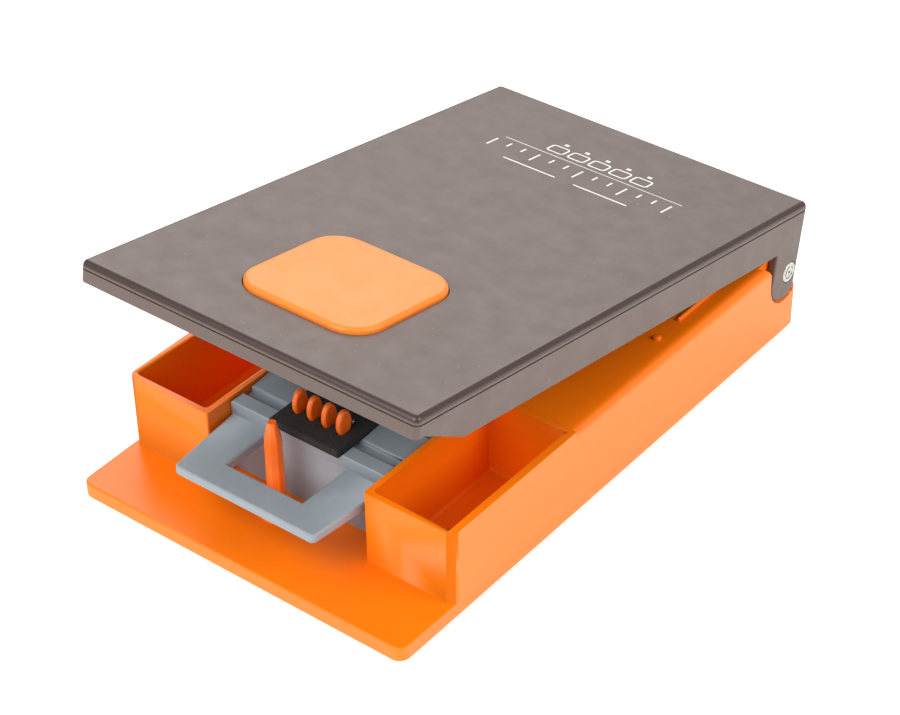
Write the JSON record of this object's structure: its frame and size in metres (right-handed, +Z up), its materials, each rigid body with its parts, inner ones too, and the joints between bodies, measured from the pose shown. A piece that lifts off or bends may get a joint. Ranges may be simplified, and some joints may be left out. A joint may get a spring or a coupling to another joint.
{
  "type": "cine film tape splicer",
  "caption": "Desktop tape splicer for 8 mm cine film: housing with front apron and two off-cut bins, film bed with splice pad, hinged lid with a press button.",
  "frame": {"origin": "on the table, under the middle of the housing: centre of the non-slip sheet's lower face", "axes": "+X to the right, +Y to the hinge at the back, +Z up; the object is mirror-symmetric about X = 0 apart from the guide post"},
  "size_m": [0.085, 0.1431, 0.0556],
  "materials": {
    "housing_orange": "glossy injection-moulded styrene, saturated orange",
    "cover_plastic": "fine spark-eroded texture",
    "sheet_rubber": "foam rubber sheet",
    "screw_steel": "zinc plated",
    "bed_grey": "satin slate-grey moulding",
    "pad_rubber": "matte textured black rubber",
    "guide_orange": "satin orange moulding",
    "pin_brass": "turned",
    "hinge_steel": "turned end face",
    "lid_brown": "satin warm grey-brown moulding with a very fine grain",
    "retainer_plastic": "plain moulding",
    "spring_steel": "drawn wire",
    "button_orange": "satin orange moulding",
    "knife_steel": "ground edge"
  },
  "bodies": {
    "base": {"base_housing": "housing_orange", "bottom_cover": "cover_plastic", "non_slip_sheet": "sheet_rubber", "cover_screws": "screw_steel", "film_bed": "bed_grey", "bed_screws": "screw_steel", "splice_pad": "pad_rubber", "guide_comb": "guide_orange", "registration_pins": "pin_brass", "guide_post": "guide_orange", "hinge_pins": "hinge_steel"},
    "lid": {"lid_shell": "lid_brown", "button_retainer": "retainer_plastic", "retainer_screws": "screw_steel", "button_springs": "spring_steel"},
    "button": {"press_button": "button_orange", "presser_block": "retainer_plastic", "presser_face": "pad_rubber", "block_screws": "screw_steel", "trim_knives": "knife_steel", "knife_screws": "screw_steel"}
  },
  "joints": [
    {"name": "lid_hinge", "type": "hinge", "parent": "base", "child": "lid", "pos_m": [0, 0.0669, 0.016], "axis": [-1, 0, 0], "range_deg": [-10.2, 84.8]},
    {"name": "button_press", "type": "slide", "parent": "lid", "child": "button", "axis": [0, -0.1771, -0.9842], "range_m": [0, 0.0013], "stiffness_N_per_m": 600, "springref_m": -0.0008, "deforming": ["button_springs"]}
  ]
}
